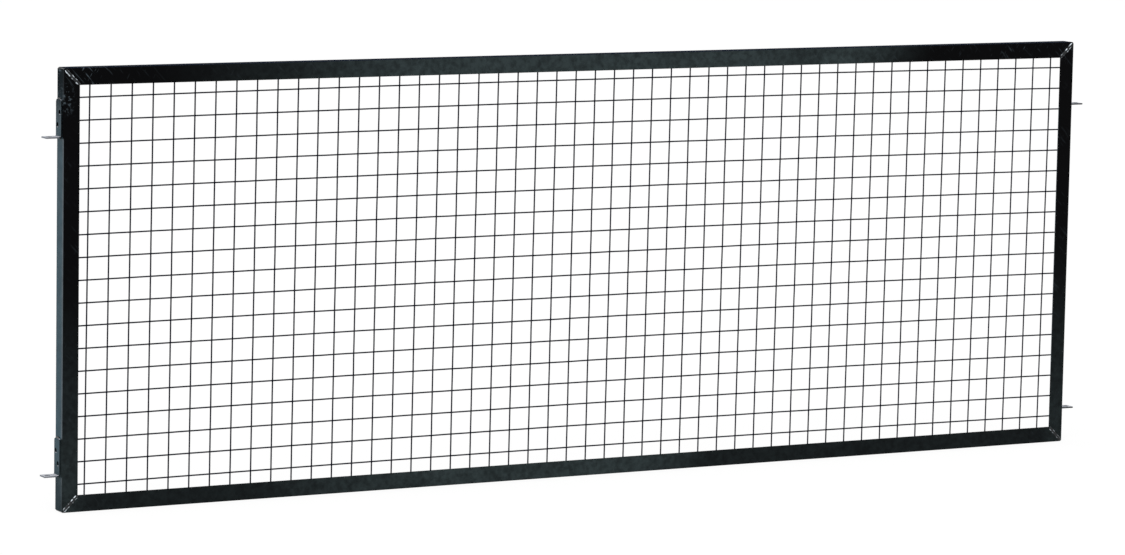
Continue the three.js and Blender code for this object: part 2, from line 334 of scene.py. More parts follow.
class Finish(Nodes):
    """A paint made of nodes that read each piece's own coordinates, in metres."""

    def __init__(self, slot):
        self.material = bpy.data.materials.new(f"{slot}_finish")
        super().__init__(self.material)
        self.shader = self.tree.nodes["Principled BSDF"]
        self.shader.inputs["Specular IOR Level"].default_value = MIRRORED[slot]
        place = self.add("ShaderNodeTexCoord")
        self.place = place.outputs["Object"]
        self.facing = place.outputs["Normal"]

    def attribute(self, name):
        """A number that some pieces carry on their corners, and 0 on the others."""
        node = self.add("ShaderNodeAttribute")
        node.attribute_name = name
        return node.outputs["Fac"]

    def noise(self, scale, detail=3.0, roughness=0.5, lump=None, turn=0.0):
        """Soft noise with that many lumps to the metre.

        Where a lump's size is given, along X, Y and Z after a turn about Y, the
        lumps are drawn out to it, and the scale counts from there.
        """
        vector = self.place
        if lump:
            mapping = self.add("ShaderNodeMapping", Scale=lump, Rotation=(0, turn, 0))
            mapping.vector_type = "TEXTURE"
            vector = self.feed(mapping, vector)
        node = self.add(
            "ShaderNodeTexNoise",
            Vector=vector,
            Scale=scale,
            Detail=detail,
            Roughness=roughness,
        )
        return node.outputs["Fac"]

    def ramp(self, value, start, end, low=0.0, high=1.0):
        """Smooth step from low at start to high at end."""
        node = self.add("ShaderNodeMapRange")
        node.interpolation_type = "SMOOTHSTEP"
        return self.feed(node, value, start, end, low, high)

    def blend(self, factor, below, above):
        """Colour above laid over the one below, as far as the factor says."""
        node = self.add("ShaderNodeMix", Factor=factor)
        node.data_type = "RGBA"
        colours = [socket for socket in node.inputs if socket.type == "RGBA"]
        for value, socket in zip((below, above), colours):
            self.join(value, socket)
        return next(out for out in node.outputs if out.type == "RGBA")

    def axes(self, vector):
        """The three parts of a vector."""
        return self.add("ShaderNodeSeparateXYZ", Vector=vector).outputs

    def relief(self, height, depth, under=None):
        """Bumps of that depth in metres, on top of earlier ones."""
        node = self.add("ShaderNodeBump", Height=height, Distance=depth)
        if under:
            self.join(under, node.inputs["Normal"])
        return node.outputs[0]

    def finish(self, base, roughness, normal):
        """Sets what the paint is made of, and gives the material."""
        made_of = {"Base Color": base, "Roughness": roughness, "Normal": normal}
        for name, value in made_of.items():
            self.join(value, self.shader.inputs[name])
        return self.material


def near(paint, value, places, core, reach):
    """Mask that is full within the core of some places and gone at their reach."""
    mask = 0.0
    for place in places:
        away = paint.maths("ABSOLUTE", paint.maths("SUBTRACT", value, place))
        mask = paint.maths("MAXIMUM", mask, paint.ramp(away, reach, core))
    return mask


def all_of(paint, *masks):
    """Mask that holds only where all of these do."""
    mask = masks[0]
    for other in masks[1:]:
        mask = paint.maths("MULTIPLY", mask, other)
    return mask


# Painted sheen on the rails' front faces, along X: where it is nothing and where it
# is full. Its right end leans, and lies further right on the top rail than on the
# bottom one.
SHEEN_LEFT_END = (-1.15, -0.35)
SHEEN_RIGHT_END = (0.4, 0.12)
SHEEN_END_LEAN = 0.55
# Lighter paint at the foot of the stiles: heights where it is nothing and where it is
# most, how far from the panel's middle the stiles are, and where it weakens again on
# the right one.
PALE_FOOT_HEIGHTS = (0.55, 0.0)
STILE_DISTANCES = (1.26, 1.31)
RIGHT_STILE = (1.0, 1.3)


def dust_and_sheen(paint, x, z):
    """Mask of painted sheen in mid span and of paler stile feet, in patches."""
    leaned = paint.maths("SUBTRACT", x, paint.maths("MULTIPLY", z, SHEEN_END_LEAN))
    left_end = paint.ramp(x, *SHEEN_LEFT_END)
    middle = all_of(paint, left_end, paint.ramp(leaned, *SHEEN_RIGHT_END))
    near_floor = paint.ramp(z, *PALE_FOOT_HEIGHTS, high=0.65)
    on_stile = paint.ramp(paint.maths("ABSOLUTE", x), *STILE_DISTANCES, low=0.45)
    on_right = paint.ramp(x, *RIGHT_STILE, low=1.0, high=0.7)
    low = all_of(paint, near_floor, on_stile, on_right)
    patches = paint.ramp(paint.noise(3.2, 4.0, 0.55), 0.32, 0.55, low=0.7)
    grime = paint.ramp(paint.noise(70.0, 6.0, 0.7), 0.3, 0.7, low=0.5, high=1.15)
    return all_of(paint, paint.maths("MAXIMUM", middle, low), patches, grime)


# How far from the top and the foot the painted sheen of the outer legs fades, and
# where it is least at the top.
SHEEN_FADE = 0.16
SHEEN_TOP = 0.03
# How softly the painted shadow beside a bracket starts at its ends and at its front
# edge.
END_BLUR = 0.002
STRIP_BLUR = 0.0002


def side_sheen_mask(paint, y, z):
    """Mask of painted sheen on the outer legs, less near corners and beside brackets.
    """
    foot = paint.ramp(z, 0.0, SHEEN_FADE, low=0.3)
    head = paint.ramp(z, HEIGHT - SHEEN_TOP, HEIGHT - SHEEN_FADE, low=0.12)
    mottle = paint.ramp(paint.noise(45.0, 5.0, 0.6), 0.3, 0.7, low=0.75)
    # The narrow strip in front of a bracket has no sheen: a painted shadow of the
    # bracket. The right brackets are as high as the left ones.
    boxes = [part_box(f"{name}_bracket") for name in BRACKETS[:2]]
    middles = [(low.z + high.z) / 2 for low, high in boxes]
    low, high = boxes[0]
    half = (high.z - low.z) / 2
    beside = near(paint, z, middles, half - END_BLUR, half + 2 * END_BLUR)
    strip = paint.ramp(y, low.y + STRIP_BLUR, low.y - 2 * STRIP_BLUR)
    outside_bracket_shadow = paint.maths("SUBTRACT", 1.0, all_of(paint, beside, strip))
    return all_of(paint, foot, head, mottle, outside_bracket_shadow)


# Long, thin lumps of noise make the scratches: their sizes along X, Y and Z, and turns.
SLANTED = ((0.0055, 0.02, 0.045), -0.75)
CROSSING = ((0.0045, 0.02, 0.03), 0.5)
# Distances from the panel's middle and drops from its top where the scratches start
# and where they are full.
SCRATCHED_ENDS = (1.08, 1.2)
SCRATCHED_DROPS = (0.06, 0.03)
# Specks: how far they are full and reach from a bracket's top, and from the left end.
SPECK_HEIGHTS = (0.01, 0.045)
SPECK_WIDTHS = (0.034, 0.004)


def rubs(paint, x, z):
    """Mask of slanting scratches near the top corners, and specks by a bracket."""
    slanted = paint.ramp(paint.noise(1.0, 2.0, 0.5, *SLANTED), 0.6, 0.72)
    crossing = paint.ramp(paint.noise(1.0, 2.0, 0.5, *CROSSING), 0.64, 0.74)
    marks = paint.maths("MAXIMUM", slanted, crossing)
    patches = paint.ramp(paint.noise(9.0, 3.0), 0.42, 0.6, low=0.15, high=0.8)
    at_corner = paint.ramp(paint.maths("ABSOLUTE", x), *SCRATCHED_ENDS, low=0.12)
    at_top = paint.ramp(z, *(HEIGHT - drop for drop in SCRATCHED_DROPS), low=0.1)
    scratched = all_of(paint, marks, patches, at_corner, at_top)
    # The specks lie beside the top of the upper left bracket.
    beside = near(paint, z, [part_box("upper_left_bracket")[1].z], *SPECK_HEIGHTS)
    at_end = paint.ramp(x, *(LEFT + width for width in SPECK_WIDTHS))
    dots = paint.ramp(paint.noise(190.0, 3.0, 0.6), 0.54, 0.7, high=0.8)
    return paint.maths("MAXIMUM", scratched, all_of(paint, beside, dots, at_end))


# How squarely a face looks a way, from where it starts to count as facing it.
FACING = (0.6, 0.95)
# How far back from the front the painted highlight by the heel reaches.
HEEL_HIGHLIGHT_DEPTH = 0.012
# How far outside the left stile a tab starts, and is a tab for sure.
TAB_START = 0.007
TAB_SURE = 0.009


def steel_paint(slot, colours, roof_shading):
    """Semi-gloss black paint on hot-rolled steel."""
    paint = Finish(slot)
    x, y, z = paint.axes(paint.place)
    outwards, _, upwards = paint.axes(paint.facing)
    # Painted sheen lightens the front faces in mid span, and the stiles' feet are
    # lighter.
    base = paint.blend(dust_and_sheen(paint, x, z), colours.black, colours.haze)
    # The outer legs are palest along their front edge, a painted highlight by the heel.
    heel_highlight = paint.ramp(y, FRONT + HEEL_HIGHLIGHT_DEPTH, FRONT)
    side_sheen_colour = paint.blend(heel_highlight, colours.side_sheen_colour, colours.worn)
    # The outer legs, which face sideways, take a painted sheen.
    side = paint.ramp(paint.maths("ABSOLUTE", outwards), *FACING)
    side_sheen = side_sheen_mask(paint, y, z)
    base = paint.blend(all_of(paint, side, side_sheen), base, side_sheen_colour)
    # Upward faces take painted shading: dark bluish shade on the rails, a pale painted
    # highlight on the tabs.
    roof = paint.ramp(upwards, *FACING)
    base = paint.blend(roof, base, roof_shading)
    # The edges of the left tabs are painted half pale, a painted highlight.
    tab = paint.ramp(x, LEFT - TAB_START, LEFT - TAB_SURE)
    level = paint.maths("ABSOLUTE", upwards)
    edge = paint.ramp(level, FACING[0], FACING[0] / 2, high=0.5)
    base = paint.blend(all_of(paint, tab, edge), base, colours.edge)
    base = paint.blend(rubs(paint, x, z), base, colours.scuff)
    gloss = paint.ramp(paint.noise(34.0, 6.0, 0.62), 0.3, 0.7, low=0.36, high=0.5)
    # The rails' tops, and the outer legs where they lack their painted sheen, are matt.
    without_sheen = all_of(paint, side, paint.maths("SUBTRACT", 1.0, side_sheen))
    matt = paint.maths("MULTIPLY", paint.maths("MAXIMUM", roof, without_sheen), 0.95)
    rough = paint.maths("MAXIMUM", gloss, matt)
    scale = paint.relief(paint.noise(120.0, 5.0, 0.6), 0.00012)
    peel = paint.relief(paint.noise(850.0, 2.0), 0.00003, scale)
    return paint.finish(base, rough, peel)


def wire_finish(slot, colours):
    """Satin black paint on drawn wire, worn a little along it."""
    paint = Finish(slot)
    wear = paint.noise(26.0, 5.0, 0.6)
    base = paint.blend(paint.ramp(wear, 0.38, 0.68), colours.wire, colours.wire_haze)
    rough = paint.ramp(paint.noise(180.0, 3.0), 0.3, 0.7, low=0.6, high=0.75)
    grain = paint.relief(paint.noise(1400.0, 3.0, 0.6), 0.00004)
    return paint.finish(base, rough, grain)


def weld_finish(slot, colours):
    """Glossy black paint pooled in the ripples, thin on the crests, with painted
    glints.
    """
    paint = Finish(slot)
    crests = paint.noise(620.0, 4.0, 0.65)
    base = paint.blend(paint.ramp(crests, 0.5, 0.75), colours.weld, colours.weld_crest)
    # Painted highlight: the glints that the beads carry on their corners.
    base = paint.blend(paint.attribute("painted_glint"), base, colours.bright)
    rough = paint.ramp(paint.noise(300.0, 2.0), 0.3, 0.7, low=0.22, high=0.38)
    pits = paint.relief(paint.noise(1500.0, 3.0), 0.00006)
    return paint.finish(base, rough, pits)


def paint_for(slot, context):
    """The finish of a slot, made when a piece first asks for it."""
    found = bpy.data.materials.get(f"{slot}_finish")
    if found:
        return found
    colours = context.scene.mesh_panel.paint
    if slot == "wire_paint":
        return wire_finish(slot, colours)
    if slot == "weld_paint":
        return weld_finish(slot, colours)
    # Upward faces take painted shading: shade on the frame, a highlight on the
    # brackets.
    roof_shadings = {"frame_paint": colours.roof_shade, "bracket_paint": colours.tab}
    return steel_paint(slot, colours, roof_shadings[slot])


# ------------ making of pieces

ROUND_STEPS = 5
ARC_STEPS = 8
HOLE_STEPS = 36
# How far cutters reach past what they cut, and how near points count as touching.
OVERSHOOT = 0.005
TOUCH = OVERSHOOT / 1000
# Edges that turn by more than this stay sharp, on flat bars and on beads and wires.
BAR_CREASE = math.radians(35)
BEAD_CREASE = math.radians(60)
# Noise vectors start from the clock unless they have a seed.
NOISE_SEED = 11


def mesh_object(name, bm):
    """A bmesh as an object of its own."""
    mesh = bpy.data.meshes.new(name)
    bm.to_mesh(mesh)
    bm.free()
    made = bpy.data.objects.new(name, mesh)
    bpy.context.scene.collection.objects.link(made)
    return made


def dress(made, slot, replaced, context, crease=BEAD_CREASE):
    """Paints and shades a finished piece, and lets it stand for CAD nodes."""
    made.data.materials.clear()
    made.data.materials.append(paint_for(slot, context))
    made.data.shade_smooth()
    made.data.set_sharp_from_angle(angle=crease)
    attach(made, "root")
    if replaced:
        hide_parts(*replaced)


def dress_bar(made, slot, node, context):
    """Finishes a bar, whose flat faces stay flat beside their small rounded edges."""
    dress(made, slot, [node], context, BAR_CREASE)
    modifier = made.modifiers.new("flat faces", "WEIGHTED_NORMAL")
    modifier.keep_sharp = True


def cut_away(made, *cutters):
    """Cuts the cutters out of an object, one after the other."""
    for cutter in cutters:
        modifier = made.modifiers.new(cutter.name, "BOOLEAN")
        modifier.operation = "DIFFERENCE"
        modifier.solver = "EXACT"
        modifier.object = cutter
    depsgraph = bpy.context.evaluated_depsgraph_get()
    result = bpy.data.meshes.new_from_object(made.evaluated_get(depsgraph))
    made.modifiers.clear()
    uncut = made.data
    made.data = result
    bpy.data.meshes.remove(uncut)
    for cutter in cutters:
        bpy.data.meshes.remove(cutter.data)


def fill_open_ends(bm):
    """Closes each open loop with a face."""
    rim = [edge for edge in bm.edges if edge.is_boundary]
    bmesh.ops.holes_fill(bm, edges=rim, sides=0)


def extrude(bm, face, vector):
    """Pulls a face out along a vector, and gives the face at its new place."""
    pulled = bmesh.ops.extrude_face_region(bm, geom=[face])["geom"]
    verts = [part for part in pulled if isinstance(part, bmesh.types.BMVert)]
    bmesh.ops.translate(bm, verts=verts, vec=vector)
    return next(part for part in pulled if isinstance(part, bmesh.types.BMFace))


def round_corner(bm, parts, radius, affect="EDGES", steps=ROUND_STEPS):
    """Rounds edges, or corners of a flat outline."""
    bmesh.ops.bevel(
        bm, geom=parts, offset=radius, offset_type="OFFSET", affect=affect,
        segments=steps, profile=0.5, material=-1,
    )


def drill(bm, diameter, thickness, chamfer, placement):
    """Adds a cutter for one hole: a bore along Z that flares at both its ends."""
    radius = diameter / 2
    neck = thickness / 2 - chamfer
    flare = 3 * chamfer
    outline = (
        (0, -neck - flare),
        (radius + flare, -neck - flare),
        (radius, -neck),
        (radius, neck),
        (radius + flare, neck + flare),
        (0, neck + flare),
    )
    turned = bmesh.new()
    verts = [turned.verts.new((x, 0, z)) for x, z in outline]
    edges = [turned.edges.new(pair) for pair in zip(verts, verts[1:])]
    bmesh.ops.spin(
        turned, geom=verts + edges, cent=(0, 0, 0), axis=Z_AXIS, dvec=(0, 0, 0),
        angle=4 * QUARTER_TURN, steps=HOLE_STEPS, use_merge=True, use_duplicate=False,
    )
    bmesh.ops.remove_doubles(turned, verts=turned.verts, dist=radius / 100)
    bmesh.ops.recalc_face_normals(turned, faces=turned.faces)
    bmesh.ops.transform(turned, matrix=placement, verts=turned.verts)
    add_to(bm, turned)


def add_to(bm, other):
    """Moves one bmesh into another."""
    mesh = bpy.data.meshes.new("part")
    other.to_mesh(mesh)
    other.free()
    bm.from_mesh(mesh)
    bpy.data.meshes.remove(mesh)


def frame_of(right, up, out, place):
    """Matrix that puts local X, Y and Z on three directions at a place."""
    turn = Matrix((right, up, out)).transposed().to_4x4()
    return Matrix.Translation(place) @ turn


# ------------ the frame

# Waves of a rolled face to the metre.
WAVES = 2.3
# Just under a full round corner, so that its arc keeps its short straight ends.
ARC_SHARE = 0.99


def side_placement(turns, x, z):
    """Where a side of the frame goes, from its own axes."""
    turn = Matrix.Rotation(turns * QUARTER_TURN, 4, "Y")
    return Matrix.Translation((x, FRONT, z)) @ turn


def angle_bar(sizes, run):
    """Closed bar of rolled angle along +Z, with its heel at the origin."""
    steel = sizes.steel
    corners = (
        (0, 0, sizes.heel_radius),
        (FLANGE, 0, sizes.edge_radius),
        (FLANGE, steel, sizes.toe_radius),
        (steel, steel, sizes.root_radius),
        (steel, LEG, sizes.toe_radius),
        (0, LEG, sizes.edge_radius),
    )
    bm = bmesh.new()
    verts = [bm.verts.new((x, y, 0)) for x, y, _ in corners]
    bm.faces.new(verts)
    for vert, (_, _, radius) in zip(verts, corners):
        round_corner(bm, [vert], radius, "VERTICES")
    extrude(bm, bm.faces[:][0], (0, 0, run))
    return bm


def mitre(bm, place, facing):
    """Cuts a bar off on the side of a plane that it faces, and closes the end."""
    everything = bm.verts[:] + bm.edges[:] + bm.faces[:]
    bmesh.ops.bisect_plane(
        bm, geom=everything, dist=TOUCH, plane_co=place, plane_no=facing,
        clear_outer=True,
    )
    fill_open_ends(bm)


def make_wavy(bm, sizes, run, seed):
    """Lets the faces of a bar wander inwards a little along its length."""
    noise.seed_set(NOISE_SEED)
    for number in range(1, int(run / sizes.wave_step)):
        bmesh.ops.bisect_plane(
            bm, geom=bm.verts[:] + bm.edges[:] + bm.faces[:], dist=TOUCH,
            plane_co=(0, 0, number * sizes.wave_step), plane_no=Z_AXIS,
        )
    for vert in bm.verts:
        x, y, z = vert.co
        wave = noise.noise_vector((seed, z * WAVES, 0)) / 2
        vert.co.x += sizes.waviness * (0.5 + wave.x) * (1 - x / FLANGE)
        vert.co.y += sizes.waviness * (0.5 + wave.y) * (1 - y / LEG)


def corner_rounders(sizes, turns, run, placement):
    """Cutters that grind the two outer corners of a side round."""
    both = bmesh.new()
    for corner, end, way in ((turns, 0, 1), (turns + 1, run, -1)):
        at_left = "left" in SIDES[corner % len(SIDES)][1]
        radius = sizes.left_corner if at_left else sizes.right_corner
        outline = (
            (-OVERSHOOT, -OVERSHOOT),
            (radius, -OVERSHOOT),
            (radius, 0),
            (0, 0),
            (0, radius),
            (-OVERSHOOT, radius),
        )
        bm = bmesh.new()
        verts = [bm.verts.new((x, -OVERSHOOT, end + way * z)) for x, z in outline]
        bm.faces.new(verts)
        round_corner(bm, [verts[3]], radius * ARC_SHARE, "VERTICES", ARC_STEPS)
        extrude(bm, bm.faces[:][0], (0, LEG + 2 * OVERSHOOT, 0))
        bmesh.ops.recalc_face_normals(bm, faces=bm.faces)
        add_to(both, bm)
    bmesh.ops.transform(both, matrix=placement, verts=both.verts)
    return mesh_object("corner_rounders", both)


def notch_blocks(bm, sizes, run, placement):
    """Adds the cutters for the notches that the corner welds fill."""
    reach = 2 * sizes.corner_notch
    for end in (0, run):
        middle = Matrix.Translation((0, LEG / 2, end))
        block = Matrix.Diagonal((reach, LEG + 2 * OVERSHOOT, reach, 1))
        bmesh.ops.create_cube(bm, size=1, matrix=placement @ middle @ block)


def bolt_holes(sizes, name):
    """Place of each bolt hole of a bracket, on the outside face of the side leg."""
    low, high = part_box(f"{name}_bracket")
    side = side_of(name)
    lean = 1 if "upper" in name else -1
    middle = (low.y + high.y) / 2
    upper = Vector((side, middle - lean * sizes.stagger, high.z - sizes.upper_drop))
    lower = Vector((side, middle + lean * sizes.stagger, high.z - sizes.lower_drop))
    return upper, lower


def across_side(place, inwards):
    """Placement of a drill along X whose middle is that far inside the side's face."""
    way = 1 if place.x < 0 else -1
    turn = Matrix.Rotation(QUARTER_TURN, 4, "Y")
    return Matrix.Translation(place + X_AXIS * way * inwards) @ turn


class MESHPANEL_OT_frame_sides(bpy.types.Operator):
    """Make the four mitred angles of the frame"""

    bl_idname = "mesh_panel.frame_sides"
    bl_label = "Frame Sides"

    def execute(self, context):
        settings = context.scene.mesh_panel
        sizes = settings.angle
        for turns, (node, _, x, z) in enumerate(SIDES):
            upright = turns % 2 == 0
            run = HEIGHT if upright else WIDTH
            placement = side_placement(turns, x, z)
            trim = sizes.mitre_gap / SLANT
            bm = angle_bar(sizes, run)
            mitre(bm, (0, 0, trim), (1, 0, -1))
            mitre(bm, (0, 0, run - trim), (1, 0, 1))
            make_wavy(bm, sizes, run, turns)
            bmesh.ops.transform(bm, matrix=placement, verts=bm.verts)
            bmesh.ops.recalc_face_normals(bm, faces=bm.faces)
            side = mesh_object(f"{node}_steel", bm)
            cutters = bmesh.new()
            notch_blocks(cutters, sizes, run, placement)
            if upright:
                self.drill_leg(cutters, settings, node.split("_")[0])
            cut_away(
                side,
                corner_rounders(sizes, turns, run, placement),
                mesh_object("notches_and_holes", cutters),
            )
            dress_bar(side, "frame_paint", node, context)
        return {"FINISHED"}

    def drill_leg(self, cutters, settings, end):
        """Adds the drills for the bolt holes in the side leg at one end."""
        sizes = settings.bracket
        steel = settings.angle.steel
        for name in BRACKETS:
            if end in name:
                for place in bolt_holes(sizes, name):
                    middle = across_side(place, steel / 2)
                    drill(cutters, sizes.bolt_hole, steel, sizes.hole_chamfer, middle)


# ------------ welds

# Strips across a bead, steps along each ripple, and how blunt a bead's ends are.
BEAD_STRIPS = 14
RIPPLE_STEPS = 8
BLUNT_END = 0.12
# The valley along a bead's crown: its depth in bead heights, and its reach to each side
# in half widths.
VALLEY_DEPTH = 0.3
VALLEY_REACH = 0.7
# A bead's lumps to the metre: on its crown, along its line and at its toes.
CROWN_LUMPS = 140
LINE_LUMPS = 60
TOE_LUMPS = 300
# The row of painted glints near each toe: its place and reach in half widths, how
# full it is, how sharply it breaks up, and the length of its glinting start in glint
# runs.
TOE_ROW = 0.76
TOE_REACH = 0.26
TOE_FULLNESS = 1.6
TOE_CONTRAST = 3.2
TOE_START = 1.6
# Choose the runs of painted glints on the mitre beads, from the bottom left one
# clockwise, and the lumps of the other ones.
MITRE_SEEDS = (0, 1, 14, 15)
CORNER_SEED = 10
BRACKET_SEED = 20
# How deep a mitre bead is rooted in the steel.
MITRE_ROOT = 0.0003


def toe_glint(sizes, along, across, seed, painted_glint):
    """How strong a bead's painted glint is: in short runs near its two toes."""
    row = max(0, 1 - abs(abs(across) - TOE_ROW) / TOE_REACH)
    run = along / sizes.glint_run
    patch = noise.noise((run, 3 * math.copysign(1, across), seed))
    # One toe of the glinting beads has a painted glint at the outer corner, where they
    # were begun.
    start = max(0, TOE_START - run) if across < 0 else 0
    glint = min(1, max(0, TOE_CONTRAST * patch) + painted_glint * start)
    return painted_glint * min(1, TOE_FULLNESS * row) * glint


def weld_bead(sizes, run, width, rise, sink, placement, seed, painted_glint=0.0):
    """Closed bead along X, crowned towards Z, rooted that deep in the steel."""
    bm = bmesh.new()
    brightness = bm.verts.layers.float.new("painted_glint")
    ripples = max(1, round(run / sizes.ripple_pitch))
    bmesh.ops.create_grid(
        bm, x_segments=ripples * RIPPLE_STEPS, y_segments=BEAD_STRIPS, size=0.5
    )
    half = width / 2
    for vert in bm.verts:
        along = (vert.co.x + 0.5) * run
        across = 2 * vert.co.y
        # Both ends are rounded, and the ripples trail at the toes.
        nearness = min(1, min(along, run - along) / half)
        narrow = max(BLUNT_END, math.sqrt(1 - (1 - nearness) ** 2))
        trail = along + sizes.ripple_bow * across**2
        crest = abs(math.sin(math.pi * trail / sizes.ripple_pitch)) ** 0.7
        # The crown is flat, with a shallow valley between its two toes.
        valley = VALLEY_DEPTH * max(0, 1 - (across / VALLEY_REACH) ** 2) ** 2
        crown = max(0, 1 - across**6) * (1 - valley)
        lumps = noise.noise((along * CROWN_LUMPS, across * 1.5, seed))
        height = rise * narrow * crown * (1 - sizes.ripple_depth * (1 - crest))
        stray = sizes.wander * noise.noise((along * LINE_LUMPS, seed, 0))
        edge = 1 + 0.12 * noise.noise((along * TOE_LUMPS, seed, 4 * across))
        # A painted glint, which the weld's paint reads from the corners.
        vert[brightness] = toe_glint(sizes, along, across, seed, painted_glint)
        vert.co.x = along - run / 2
        vert.co.y = across * half * narrow * edge + stray
        vert.co.z = height * (1 - 0.15 * abs(lumps))
    rim = [edge for edge in bm.edges if edge.is_boundary]
    pulled = bmesh.ops.extrude_edge_only(bm, edges=rim)["geom"]
    root = [part for part in pulled if isinstance(part, bmesh.types.BMVert)]
    bmesh.ops.translate(bm, verts=root, vec=(0, 0, -sink))
    fill_open_ends(bm)
    bmesh.ops.recalc_face_normals(bm, faces=bm.faces)
    bmesh.ops.transform(bm, matrix=placement, verts=bm.verts)
    return bm


def inwards_from(x, z):
    """Slanting direction into the panel from its corner at that place."""
    return Vector((math.copysign(1, -x), 0, math.copysign(1, TOP / 2 - z)))


def lay_bead(bm, node, context):
    """Makes a bead the finished piece that stands for its CAD node."""
    made = mesh_object(node.replace("weld", "bead"), bm)
    dress(made, "weld_paint", [node], context)


def lay_corner_bead(context, node, radius, corner, inwards, seed):
    """Lays a bead of a quarter round along Y, in a notch or between two faces."""
    low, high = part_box(node)
    out = -inwards.normalized()
    across = out.cross(Y_AXIS)
    chord = corner + out * radius / SLANT
    chord.y = (low.y + high.y) / 2
    placement = frame_of(Y_AXIS, across, out, chord)
    sizes = context.scene.mesh_panel.weld
    width = radius * SLANT
    rise = radius * (1 - 1 / SLANT)
    sink = radius / SLANT
    bm = weld_bead(sizes, high.y - low.y, width, rise, sink, placement, seed)
    lay_bead(bm, node, context)


class MESHPANEL_OT_mitre_welds(bpy.types.Operator):
    """Lay the beads across the front of the mitres, with their spatter"""

    bl_idname = "mesh_panel.mitre_welds"
    bl_label = "Mitre Welds"

    def execute(self, context):
        sizes = context.scene.mesh_panel.weld
        width = sizes.mitre_width
        for turns, (_, corner, x, z) in enumerate(SIDES):
            node = f"{corner}_mitre_weld"
            low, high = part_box(node)
            run = SLANT * (high.x - low.x) - width
            middle = (low + high) / 2
            middle.y = FRONT
            along = inwards_from(x, z).normalized()
            out = -Y_AXIS
            placement = frame_of(along, out.cross(along), out, middle)
            rise = FRONT - low.y
            seed = MITRE_SEEDS[turns]
            painted_glint = sizes.painted_glint[turns]
            bm = weld_bead(sizes, run, width, rise, MITRE_ROOT, placement, seed, painted_glint)
            self.spatter(bm, sizes, run, placement, turns)
            lay_bead(bm, node, context)
        return {"FINISHED"}

    def spatter(self, bm, sizes, run, placement, seed):
        """Adds small balls of spatter to both sides of a bead."""
        draw = random.Random(seed)
        for _ in range(sizes.spatter_count):
            along = draw.uniform(-run / 2, run / 2)
            # Near the outer corner the steel ends sooner beside the bead.
            reach = min(sizes.spatter_reach, run / 2 + along)
            away = max(sizes.mitre_width / 2, draw.uniform(0, reach))
            radius = sizes.spatter_radius * draw.uniform(0.4, 1)
            place = Vector((along, draw.choice((-1, 1)) * away, 0))
            ball = placement @ Matrix.Translation(place)
            bmesh.ops.create_icosphere(bm, subdivisions=2, radius=radius, matrix=ball)


class MESHPANEL_OT_corner_welds(bpy.types.Operator):
    """Lay the beads down the outer edge of each corner"""

    bl_idname = "mesh_panel.corner_welds"
    bl_label = "Corner Welds"

    def execute(self, context):
        settings = context.scene.mesh_panel
        radius = settings.weld.corner_radius
        for turns, (_, corner, x, z) in enumerate(SIDES):
            inwards = inwards_from(x, z)
            notch = Vector((x, 0, z)) + inwards * settings.angle.corner_notch
            node = f"{corner}_edge_weld"
            lay_corner_bead(context, node, radius, notch, inwards, CORNER_SEED + turns)
        return {"FINISHED"}


class MESHPANEL_OT_bracket_welds(bpy.types.Operator):
    """Lay the beads above and under each bracket"""

    bl_idname = "mesh_panel.bracket_welds"
    bl_label = "Bracket Welds"

    def execute(self, context):
        radius = context.scene.mesh_panel.weld.bracket_radius
        for number, name in enumerate(BRACKETS):
            side = side_of(name)
            low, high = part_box(f"{name}_bracket")
            # The bead above sits on the bar's end, and the other one under its bend.
            ends = (("top", high.z, 1), ("foot", low.z + radius / 5, -1))
            for end, z, up in ends:
                node = f"{name}_bracket_{end}_weld"
                corner = Vector((side, 0, z))
                inwards = Vector((math.copysign(1, -side), 0, -up))
                seed = BRACKET_SEED + 2 * number + up
                lay_corner_bead(context, node, radius, corner, inwards, seed)
        return {"FINISHED"}


# ------------ brackets

BEND_STEPS = 9
EDGE_STEPS = 3


def bracket_bar(sizes, depth, height, reach):
    """Bent bar with its back on the plane x = 0 and its tab towards -X, at z = 0."""
    thickness = sizes.thickness
    outside = sizes.bend_inside + thickness
    half = depth / 2
    bm = bmesh.new()
    top = [
        bm.verts.new((x, y, height))
        for x, y in ((0, -half), (0, half), (-thickness, half), (-thickness, -half))
    ]
    face = extrude(bm, bm.faces.new(top), (0, 0, outside - height))
    bent = bmesh.ops.spin(
        bm, geom=[face, *face.edges, *face.verts], cent=(-outside, 0, outside),
        axis=Y_AXIS, dvec=(0, 0, 0), angle=QUARTER_TURN, steps=BEND_STEPS,
        use_duplicate=False,
    )["geom_last"]
    face = next(part for part in bent if isinstance(part, bmesh.types.BMFace))
    extrude(bm, face, (outside - reach, 0, 0))
    bmesh.ops.remove_doubles(bm, verts=bm.verts, dist=thickness / 100)
    bmesh.ops.recalc_face_normals(bm, faces=bm.faces)
    top_corners = [edge for edge in bm.edges if lies_along(edge, X_AXIS, 2, height)]
    round_corner(bm, top_corners, sizes.top_radius, steps=ARC_STEPS)
    tab_corners = [edge for edge in bm.edges if lies_along(edge, Z_AXIS, 0, -reach)]
    round_corner(bm, tab_corners, sizes.tab_radius)
    sharp = [
        edge
        for edge in bm.edges
        if edge.is_manifold and edge.calc_face_angle() > QUARTER_TURN / 2
    ]
    round_corner(bm, sharp, sizes.edge_radius, steps=EDGE_STEPS)
    return bm


def lies_along(edge, direction, axis, value):
    """Whether an edge runs in a direction, at a value on another axis."""
    run = edge.verts[1].co - edge.verts[0].co
    parallel = abs(run.normalized().dot(direction)) > 0.99
    return parallel and all(abs(end.co[axis] - value) < TOUCH for end in edge.verts)


